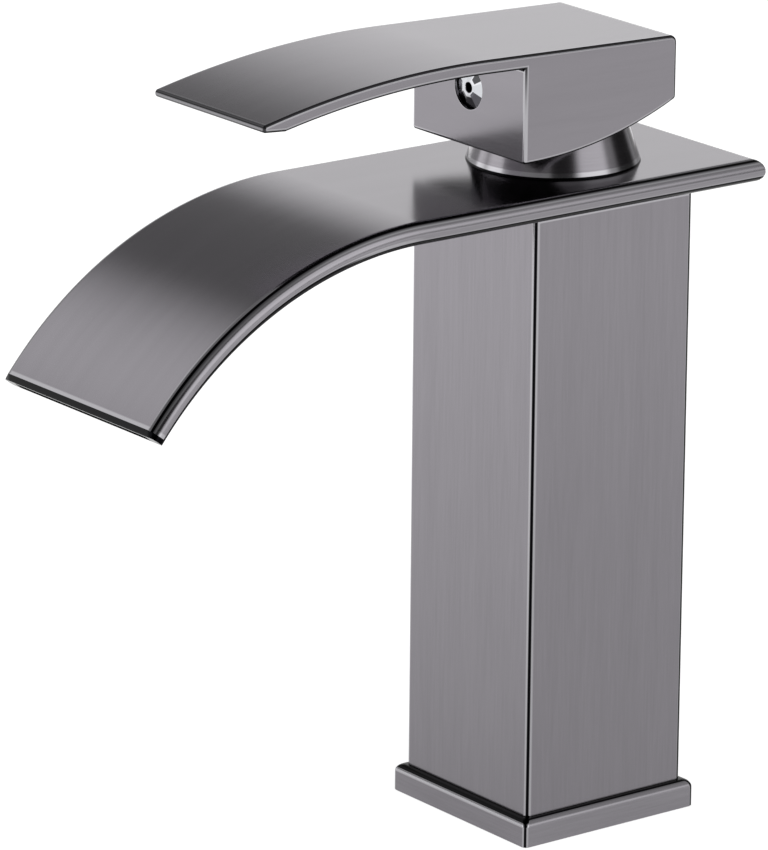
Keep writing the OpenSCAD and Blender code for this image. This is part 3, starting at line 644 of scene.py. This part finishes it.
rib_end = (RIB_L - RIB_T) / 2
rib_outline = arc(0, rib_end, RIB_T / 2, 0, 180, RIB_STEPS)
rib_outline += arc(0, -rib_end, RIB_T / 2, 180, 360, RIB_STEPS)
ribs = loft("guide_ribs", [[(x, y, z) for x, y in rib_outline] for z in (0, CHANNEL_FLOOR - CHANNEL_ROOF)])
pitch = CHANNEL_W / (RIB_COUNT + 1)
through_nodes(ribs, rib_tree(), {
    "Count": RIB_COUNT, "Material": long_brush, "Pitch": (pitch * MM, 0, 0),
    "First": Vector((pitch - CHANNEL_W / 2, RIB_L / 2 - BEND_FRONT, SPOUT_TOP - CHANNEL_FLOOR)) * MM})
finish_piece(upper_shell, long_brush, "tap_body", "brushed_gunmetal", "spout_upper_shell")
finish_piece(lower_shell, long_brush, "tap_body", "brushed_gunmetal", "spout_lower_shell")
finish_piece(ribs, long_brush, "tap_body", "brushed_gunmetal")

# %% [markdown]
# ## Trim ring
#
# The trim ring is turned on a lathe, so it is a profile carried round the axis. It hides the nut that
# clamps the spout. It is a thin cone with a flat top, and turning leaves fine rings that run round it. The
# marks along its profile paint a black line of shade at its foot with a thin highlight above it, and a black
# top, painted shade under the lever's block.

# %% Trim ring
RING_BASE_R, RING_TOP_R, RING_H, RING_WALL, RING_HOLE_R = 20.0, 16.45, 10.25, 0.45, 11.9
RING_EDGE, EDGE_MARK, RING_POINTS = 0.3, 0.6, 160
slope = (RING_BASE_R - RING_TOP_R) / RING_H
# Heights on the cone with their marks, and then the whole profile as radius, height and mark.
cone_marks = [(0.0, 1.0), (0.35, 1.0), (0.5, 0.3), (1.1, 0.3), (1.6, 0.0),
              (RING_H - 0.9, 0.0), (RING_H - 0.5, EDGE_MARK)]
ring_profile = [(RING_BASE_R - RING_WALL, 0.0, 0.0)]
ring_profile += [(RING_BASE_R - slope * z, z, mark) for z, mark in cone_marks]
ring_profile += [(RING_TOP_R - RING_EDGE, RING_H, EDGE_MARK), (RING_HOLE_R, RING_H, 1.0),
                 (RING_HOLE_R, RING_H - RING_WALL, 0.0), (RING_TOP_R - RING_WALL, RING_H - RING_WALL, 0.0)]
ring_rows = [[(x, y, z, mark) for x, y, z in round_row(r, SPOUT_TOP + h, points=RING_POINTS)]
             for r, h, mark in ring_profile]
trim_ring = loft("trim_ring_brushed", ring_rows, ring=True)
smooth(trim_ring)
finish_piece(trim_ring, turned_brush, "tap_body", "brushed_gunmetal", "trim_ring")

# %% [markdown]
# ## Lever
#
# The lever is one casting: a long, slightly arched blade that grows out of a block. Its whole shape is one
# outline seen from the side, carried across its width, with a round rear edge on top. The hollow under the
# block, the pocket for the stem and the screw's recess are then cut in, as they would be milled.
# Its edges are rounded and marked twice: first the outer ones, with a painted light rim on top, and after the
# cuts those of the openings. The marks paint shade and reflection along the edges and highlights beside
# them. In between, some marks are set by place: a painted highlight up the block's front edges, painted
# shade across the tip, and painted shade down the rear edge on the right.

# %% Outline of the lever
LEVER_W, LEVER_REACH, BLADE_T, TIP_T, TIP_BEVEL = 41.2, 96.3, 3.3, 1.6, 6.0
ARCH_R, ARCH_FRONT, ARCH_Z, RISE = 239.0, 34.6, 185.9, 1.7
BLOCK_FRONT, BLOCK_BACK, BLOCK_WALL, REAR_ROUND = 24.6, 18.9, 2.0, 1.8
LOW_R, LOW_FRONT, LOW_Z = 102.8, 23.6, 160.45
arch_y = -ARCH_FRONT - ARCH_R * sin(radians(RISE))
arch_z = ARCH_Z - ARCH_R * cos(radians(RISE))


def arch_height(front, depth=0.0):
    """Height of the arched top, or of a surface a depth below it, at a distance in front of the axis."""
    return arch_z + sqrt((ARCH_R - depth) ** 2 - (front + arch_y) ** 2)


def flat_height(y, depth=0.0):
    """The same for the straight rear part, which rises gently towards the front."""
    return ARCH_Z - (y + ARCH_FRONT) * sin(radians(RISE)) / cos(radians(RISE)) - depth / cos(radians(RISE))


def low_height(y):
    return LOW_Z + LOW_R - sqrt(LOW_R ** 2 - (y + LOW_FRONT) ** 2)


ARCH_STEPS, LOW_STEPS, REAR_STEPS, REAR_TURN = 40, 24, 6, 88
bevel_at = LEVER_REACH - TIP_BEVEL
top_fronts = [ARCH_FRONT + (LEVER_REACH - ARCH_FRONT) * i / ARCH_STEPS for i in range(ARCH_STEPS + 1)]
top = [(-front, arch_height(front)) for front in top_fronts]
under_fronts = [bevel_at - (bevel_at - ARCH_FRONT) * i / ARCH_STEPS for i in range(ARCH_STEPS + 1)]
under = [(-front, arch_height(front, BLADE_T)) for front in under_fronts]
low_places = [(BLOCK_FRONT + BLOCK_BACK) * i / LOW_STEPS - BLOCK_FRONT for i in range(LOW_STEPS + 1)]
low_curve = [(y, low_height(y)) for y in low_places]
rear_y = BLOCK_BACK - REAR_ROUND
lever_outline = arc(rear_y, flat_height(rear_y) - REAR_ROUND, REAR_ROUND, 0, REAR_TURN, REAR_STEPS)
lever_outline += top + [(-LEVER_REACH, arch_height(LEVER_REACH) - TIP_T)]
lever_outline += under + [(-BLOCK_FRONT, flat_height(-BLOCK_FRONT, BLADE_T))] + low_curve
highest = max(z for y, z in lever_outline)
print("lever outline:", len(lever_outline), "points, top at", round(highest, 2), "mm")

# %% Hollows of the lever
SCREW_Z, RECESS_R, RECESS_DEPTH, SCREW_R = SPOUT_TOP + 19.95, 4.9, 6.0, 2.1
STEM_HALF, STEM_FOOT, STEM_TOP = 4.05, SPOUT_TOP + 14.85, SPOUT_TOP + 24.5
STEP_Z, STEP_IN, HOLLOW_Z = SPOUT_TOP + 10.35, 7.6, SPOUT_TOP + 15.85
hollow_outline = [(-BLOCK_FRONT + BLOCK_WALL, SPOUT_TOP), (-BLOCK_FRONT + BLOCK_WALL, STEP_Z),
                  (-BLOCK_FRONT + STEP_IN, STEP_Z), (-BLOCK_FRONT + STEP_IN, HOLLOW_Z),
                  (BLOCK_BACK - BLOCK_WALL, HOLLOW_Z), (BLOCK_BACK - BLOCK_WALL, SPOUT_TOP)]


def across(name, outline, half_w):
    """A side outline of y and z, carried across the width."""
    return loft(name, [[(x, y, z) for y, z in outline] for x in (-half_w, half_w)])


def forward_hole(radius, deep):
    """A round cutter along Y, from in front of the block."""
    circle = round_row(radius, 0)
    return loft("hole", [[(x, y, SCREW_Z + z) for x, z, _ in circle]
                         for y in (-BLOCK_FRONT - PAST, -BLOCK_FRONT + deep)])


print("screw's recess", 2 * RECESS_R, "mm wide and", RECESS_DEPTH, "mm deep, at height", SCREW_Z, "mm")

# %% The lever: its edges, its marks and its cuts
OUTER_BEVEL, OUTER_RIM, OUTER_MARKS = 0.75, 0.5, (0.2, 0.45, 0.6, 0.6, 0.6)
INNER_BEVEL, INNER_STEPS, INNER_ANGLE = 0.25, 4, 40
# How far from its edge each strip of points reaches, and then the mark that it gets.
FRONT_STRIP, TIP_STRIP, REAR_STRIP = 0.7, 0.3, 0.8
FRONT_MOST, TIP_LEAST, REAR_MARK = 0.25, 0.52, 0.62
front_low, front_high = low_height(-BLOCK_FRONT) + 0.5, flat_height(-BLOCK_FRONT, BLADE_T) - 0.3
lever = across("lever_brushed", lever_outline, LEVER_W / 2)
soften(lever, OUTER_BEVEL, rim=OUTER_RIM, marks=OUTER_MARKS)
# Painted highlight up the block's front edges, painted shade across the tip and down the rear edge on the
# right.
for point, mark in zip(lever.data.vertices, lever.data.attributes["painted_edge_light_and_shade"].data):
    x, y, z = (c / MM for c in point.co)
    at_front = front_low < z < front_high and abs(y + BLOCK_FRONT) < FRONT_STRIP
    if at_front and abs(x) > LEVER_W / 2 - FRONT_STRIP:
        mark.value = min(mark.value, FRONT_MOST)
    if y < TIP_STRIP - LEVER_REACH:
        mark.value = max(mark.value, TIP_LEAST)
    if y > BLOCK_BACK - REAR_STRIP and x > LEVER_W / 2 - REAR_STRIP:
        mark.value = REAR_MARK
pocket = loft("pocket", [square_row(STEM_HALF, z) for z in (STEM_FOOT, STEM_TOP)])
cut(lever, [across("hollow", hollow_outline, LEVER_W / 2 - BLOCK_WALL), pocket,
            forward_hole(RECESS_R, RECESS_DEPTH), forward_hole(SCREW_R, BLOCK_FRONT)])
smooth(soften(lever, INNER_BEVEL, steps=INNER_STEPS, sharper_than=INNER_ANGLE))
finish_piece(lever, long_brush, "lever", "brushed_gunmetal", "handle")

# %% [markdown]
# ## Set screw
#
# Deep in the block's front face sits a bright screw with a hexagon socket in a low, conical head. The cone
# has eight flats, and three of them are marked dark, as flats look that mirror something dark. It is one loft
# from the bottom of the socket to the end of the shank. Every row has the same number of points, whether they
# lie on a circle or on a polygon, so that the rows can be joined.

# %% Set screw
SOCKET_AF, SOCKET_DEPTH, SOCKET_SIDES = 2.0, 2.6, 6
HEAD_R, HEAD_CONE, HEAD_END, FLATS = 4.48, 0.8, 5.9, 8
SHANK_R, SHANK_END, ROW_POINTS = 1.95, 20.4, 48
DARK_FLATS, DARK_MARK = (1, 5, 6), 0.6


def forward_row(radius, deep, corners=0, mark=0.0, dark=()):
    """A circle, or a polygon with that many corners and that inner radius, round the screw's axis.

    The flats in dark, counted from +X towards +Z, get DARK_MARK.
    """
    row = []
    for i in range(ROW_POINTS):
        a = 2 * pi * i / ROW_POINTS
        r = radius
        if corners:
            r = radius / cos((a + pi / corners) % (2 * pi / corners) - pi / corners)
        shade = DARK_MARK if corners and round(a * corners / (2 * pi)) in dark else mark
        row.append((r * cos(a), -BLOCK_FRONT + deep, SCREW_Z + r * sin(a), shade))
    return row


screw_profile = [
    # radius, depth behind the block's front, corners, mark, dark flats
    # The socket is painted black, as painted shade inside it, with a thin painted highlight round its mouth.
    (SOCKET_AF / 2, SOCKET_DEPTH, SOCKET_SIDES, 1.0),
    (SOCKET_AF / 2, 0.25, SOCKET_SIDES, 1.0),
    (SOCKET_AF / 2 + 0.3, 0.05, 0, 0.25),
    (HEAD_R * 0.36, 0.0, FLATS),
    (HEAD_R * 0.5, HEAD_CONE * 0.2, FLATS, 0.0, DARK_FLATS),
    (HEAD_R, HEAD_CONE, FLATS, 0.0, DARK_FLATS),
    (HEAD_R, HEAD_END, FLATS),
    (SHANK_R, HEAD_END),
    (SHANK_R, SHANK_END),
]
set_screw = loft("set_screw_polished", [forward_row(*row) for row in screw_profile])
print("screw head", 2 * HEAD_R, "mm wide, socket", SOCKET_AF, "mm across flats")

# %% [markdown]
# ## Other materials
#
# The inner pieces keep their CAD shapes. Each still gets the finish of the real thing. Cast brass is grainy
# from its sand mould, turned brass and steel carry fine rings from the lathe, acetal plastic is milky and
# slightly uneven, alumina ceramic is hard, white and lapped almost to a mirror, and nitrile rubber is black
# and dull with a fine bloom. One function covers them, because they differ only in values. The set screw's
# chrome is the brushed finish, polished until its lines hardly show, so that it reads the edge marks too.

# %% Materials of the inner pieces
GRAIN_DETAIL, GRAIN_ROUGHNESS, GRAIN_HEIGHT = 4.0, 0.55, 0.05


def detailed(name, colour, other, grain, metallic, roughness, spread, bump, squeeze=(1, 1, 1)):
    """A finish between two colours, with a noise pattern whose grain is given in millimetres."""
    material = bpy.data.materials.new(name)
    material.use_nodes = True
    tree = material.node_tree
    tree.nodes.clear()
    place = add(tree, "ShaderNodeTexCoord")
    scaled = add(tree, "ShaderNodeMapping", {"Vector": place.outputs["Object"], "Scale": squeeze})
    noise = add(tree, "ShaderNodeTexNoise", {
        "Vector": scaled.outputs[0], "Scale": 1 / (grain * MM), "Detail": GRAIN_DETAIL,
        "Roughness": GRAIN_ROUGHNESS}).outputs["Fac"]
    mixed = add(tree, "ShaderNodeMix", {"Factor": noise, 6: linear(colour), 7: linear(other)},
                data_type="RGBA")
    rough = add(tree, "ShaderNodeMath", {0: noise, 1: spread, 2: roughness - spread / 2},
                operation="MULTIPLY_ADD")
    height = add(tree, "ShaderNodeBump", {"Height": noise, "Strength": bump,
                                          "Distance": GRAIN_HEIGHT * MM})
    shader = add(tree, "ShaderNodeBsdfPrincipled", {
        "Base Color": mixed.outputs[2], "Metallic": metallic, "Roughness": rough.outputs[0],
        "Normal": height.outputs[0]})
    add(tree, "ShaderNodeOutputMaterial", {"Surface": shader.outputs[0]})
    return material


finishes = {
    "casting": detailed("sand_cast_brass", "#9a7d45", "#c4a76a", grain=0.6, metallic=1.0,
                        roughness=0.5, spread=0.2, bump=0.6),
    "turned_brass": detailed("turned_brass", "#c3a25a", "#d8bb7a", grain=0.3, metallic=1.0,
                             roughness=0.24, spread=0.1, bump=0.15, squeeze=(0.05, 0.05, 1)),
    "steel": detailed("turned_stainless_steel", "#a9acb1", "#c3c6ca", grain=0.25, metallic=1.0,
                      roughness=0.26, spread=0.1, bump=0.15, squeeze=(1, 0.05, 0.05)),
    "chrome": detailed("polished_chrome", "#dfe1e4", "#eff0f2", grain=1.5, metallic=1.0,
                       roughness=0.08, spread=0.03, bump=0.05),
    "cartridge_plastic": detailed("moulded_acetal", "#dddbd2", "#eceae3", grain=2.5, metallic=0.0,
                                  roughness=0.42, spread=0.12, bump=0.1),
    "ceramic": detailed("lapped_alumina", "#eeeeea", "#f8f8f5", grain=0.4, metallic=0.0,
                        roughness=0.12, spread=0.05, bump=0.05),
    "seal_rubber": detailed("nitrile_rubber", "#161618", "#262629", grain=0.3, metallic=0.0,
                            roughness=0.62, spread=0.2, bump=0.3),
}
bright = brushed_gunmetal("polished_chrome_screw", "#c6c8cc", "Z", "Z", roughness=0.1, depth=0.04)
finish_piece(set_screw, bright, "lever", "chrome", "handle_screw")
for row in frame["record"]["subparts"]:
    if row["material_slot"] in finishes:
        for slot in nodes[row["node"]].material_slots:
            slot.material = finishes[row["material_slot"]]
print("finishes:", sorted(finishes))

# %% [markdown]
# ## Camera
#
# The camera stands where the photograph was taken from: half-way between the front and the right-hand side,
# slightly above, and far away with a long lens, so that upright lines stay nearly upright.

# %% Camera
AZIMUTH, ELEVATION, ROLL = radians(52.778), radians(16.695), radians(0.515)
DISTANCE, FOCAL_PX, IMAGE_H = 1509.70, 6697.63, 850
aim = Vector((0, -47.51, 99.109)) * MM
back = Vector((sin(AZIMUTH) * cos(ELEVATION), -cos(AZIMUTH) * cos(ELEVATION), sin(ELEVATION)))
right = Vector((cos(AZIMUTH), sin(AZIMUTH), 0))
up = back.cross(right)
right_rolled = right * cos(ROLL) + up * sin(ROLL)
up_rolled = back.cross(right_rolled)
camera = bpy.data.objects.new("camera", bpy.data.cameras.new("camera"))
bpy.context.scene.collection.objects.link(camera)
camera.matrix_world = Matrix((right_rolled, up_rolled, back)).transposed().to_4x4()
camera.location = aim + back * DISTANCE * MM
camera.data.sensor_width = 36
camera.data.lens = FOCAL_PX * camera.data.sensor_width / IMAGE_H
camera.data.clip_start, camera.data.clip_end = 0.05, 50
bpy.context.scene.camera = camera
print("lens", round(camera.data.lens, 1), "mm, camera at", [round(c, 3) for c in camera.location])

# %% [markdown]
# ## Floor and light
#
# Brushed metal shows its surroundings, so the studio is as much a part of its look as its colour. Around the
# tap lies matt white paper, whose fibre hardly shows. The camera sees it as plain white, and a share of real
# shading keeps the tap's shadow on it. In the metal the paper glows, though it is no lamp, as painted light:
# the glow is weaker close to the tap, as a painted shadow, and weaker to the right and far behind it, as a
# painted pool of light on a part of the floor. Three ramps, multiplied, give it.

# %% Floor
# Painted light: the paper's glow, plain for the camera, and in the metal weaker near the tap as a painted
# shadow.
GLOW_SEEN, GLOW_NEAR, GLOW_FAR, GLOW_RIGHT, GLOW_BEHIND = 0.84, 0.59, 0.92, 0.76, 0.0
NEAR_TO_FAR, LEFT_TO_RIGHT, FRONT_TO_BEHIND = (0.05, 0.50), (-0.05, 0.20), (0.7, 1.4)
FLOOR_HALF, FLOOR_HEIGHTS, FIBRE = 4000, (-2.1, -0.1), 0.8
floor = loft("floor", [square_row(FLOOR_HALF, z, steps=1) for z in FLOOR_HEIGHTS])
paper = bpy.data.materials.new("white_studio_paper_painted_glow")
paper.use_nodes = True
tree = paper.node_tree
tree.nodes.clear()
path = add(tree, "ShaderNodeLightPath").outputs
place = add(tree, "ShaderNodeTexCoord")
away = add(tree, "ShaderNodeVectorMath", {0: place.outputs["Object"]}, operation="LENGTH").outputs["Value"]
side = add(tree, "ShaderNodeSeparateXYZ", {0: place.outputs["Object"]}).outputs
in_metal = path["Is Glossy Ray"]
for measure, (start, end), (first, last) in ((away, NEAR_TO_FAR, (GLOW_NEAR, GLOW_FAR)),
                                             (side["X"], LEFT_TO_RIGHT, (1.0, GLOW_RIGHT)),
                                             (side["Y"], FRONT_TO_BEHIND, (1.0, GLOW_BEHIND))):
    share = add(tree, "ShaderNodeMapRange", {"Value": measure, "From Min": start, "From Max": end,
                                             "To Min": first, "To Max": last})
    product = add(tree, "ShaderNodeMath", {0: in_metal, 1: share.outputs[0]}, operation="MULTIPLY")
    in_metal = product.outputs[0]
plain = add(tree, "ShaderNodeMath", {0: path["Is Camera Ray"], 1: path["Is Transmission Ray"]},
            operation="MAXIMUM")
fibre = add(tree, "ShaderNodeTexNoise", {"Vector": place.outputs["Object"], "Scale": 1 / (FIBRE * MM)})
tint = add(tree, "ShaderNodeMix", {"Factor": fibre.outputs["Fac"], 6: linear("#e6e6e6"),
                                   7: linear("#eeeeee")}, data_type="RGBA")
glow = add(tree, "ShaderNodeMath", {0: plain.outputs[0], 1: GLOW_SEEN, 2: in_metal}, operation="MULTIPLY_ADD")
diffuse = add(tree, "ShaderNodeBsdfDiffuse", {"Color": tint.outputs[2]})
emission = add(tree, "ShaderNodeEmission", {"Strength": glow.outputs[0]})
paper_and_painted_glow = add(tree, "ShaderNodeAddShader", {0: diffuse.outputs[0], 1: emission.outputs[0]})
add(tree, "ShaderNodeOutputMaterial", {"Surface": paper_and_painted_glow.outputs[0]})
floor.data.materials.append(paper)
print("floor is", 2 * FLOOR_HALF * MM, "m wide")

# %% [markdown]
# The studio above the floor is brightest at the horizon and darker overhead. Nine soft patches stand in it,
# six of light and three of shade, because the light and dark bands on the metal are its reflections of them.
# All of them sit in the world's own nodes, so there is no lamp. The camera itself sees plain white.

# %% Studio light
SKY = [(0.0, 0.5), (0.10, 0.5), (0.28, 0.42), (0.40, 0.25), (0.55, 0.24), (0.85, 0.2), (1.0, 0.3)]
SOFT_LIGHTS = [
    # Each patch: its direction, the cosines of the angles from it at which the patch starts and is full, and
    # its strength. A cosine above 1 means that it is nowhere full.
    ((-0.763, 0.579, 0.16), 0.935, 0.99, 0.61),
    ((-0.763, -0.30, 0.565), 0.92, 1.015, 0.97),
    ((0.45, 0.58, 0.68), 0.85, 0.98, 0.3),
    ((0.845, -0.395, 0.361), 0.955, 0.988, -0.6),
    ((0.24, 0.97, 0.05), 0.90, 0.98, -0.5),
    ((0.904, 0.309, 0.295), 0.90, 0.965, 1.1),
    ((-0.503, -0.837, 0.215), 0.93, 0.985, 1.1),
    ((-0.853, -0.512, 0.104), 0.98, 0.995, 1.1),
    ((-0.763, -0.579, 0.287), 0.975, 0.99, -0.25),
]
DARKEST = 0.03
world = bpy.data.worlds.new("studio")
bpy.context.scene.world = world
world.use_nodes = True
sky = world.node_tree
sky.nodes.clear()
direction = add(sky, "ShaderNodeTexCoord").outputs["Generated"]
height = add(sky, "ShaderNodeSeparateXYZ", {0: direction}).outputs["Z"]
ramp = add(sky, "ShaderNodeValToRGB", {0: height})
while len(ramp.color_ramp.elements) < len(SKY):
    ramp.color_ramp.elements.new(0.5)
for element, (place, level) in zip(ramp.color_ramp.elements, SKY):
    element.position, element.color = place, (level, level, level, 1)
total = add(sky, "ShaderNodeSeparateColor", {0: ramp.outputs["Color"]}).outputs[0]
for towards, starts, full, strength in SOFT_LIGHTS:
    close = add(sky, "ShaderNodeVectorMath", {0: direction, 1: Vector(towards).normalized()},
                operation="DOT_PRODUCT")
    patch = add(sky, "ShaderNodeMapRange", {"Value": close.outputs["Value"], "From Min": starts,
                                            "From Max": full, "To Min": 0.0, "To Max": strength},
                interpolation_type="SMOOTHSTEP")
    total = add(sky, "ShaderNodeMath", {0: total, 1: patch.outputs[0]}).outputs[0]
for least in (DARKEST, add(sky, "ShaderNodeLightPath").outputs["Is Camera Ray"]):
    total = add(sky, "ShaderNodeMath", {0: total, 1: least}, operation="MAXIMUM").outputs[0]
background = add(sky, "ShaderNodeBackground", {"Color": (1, 1, 1, 1), "Strength": total})
add(sky, "ShaderNodeOutputWorld", {"Surface": background.outputs[0]})
bpy.context.scene.view_settings.view_transform = "Standard"
print("sky steps:", len(SKY), "soft lights:", len(SOFT_LIGHTS))
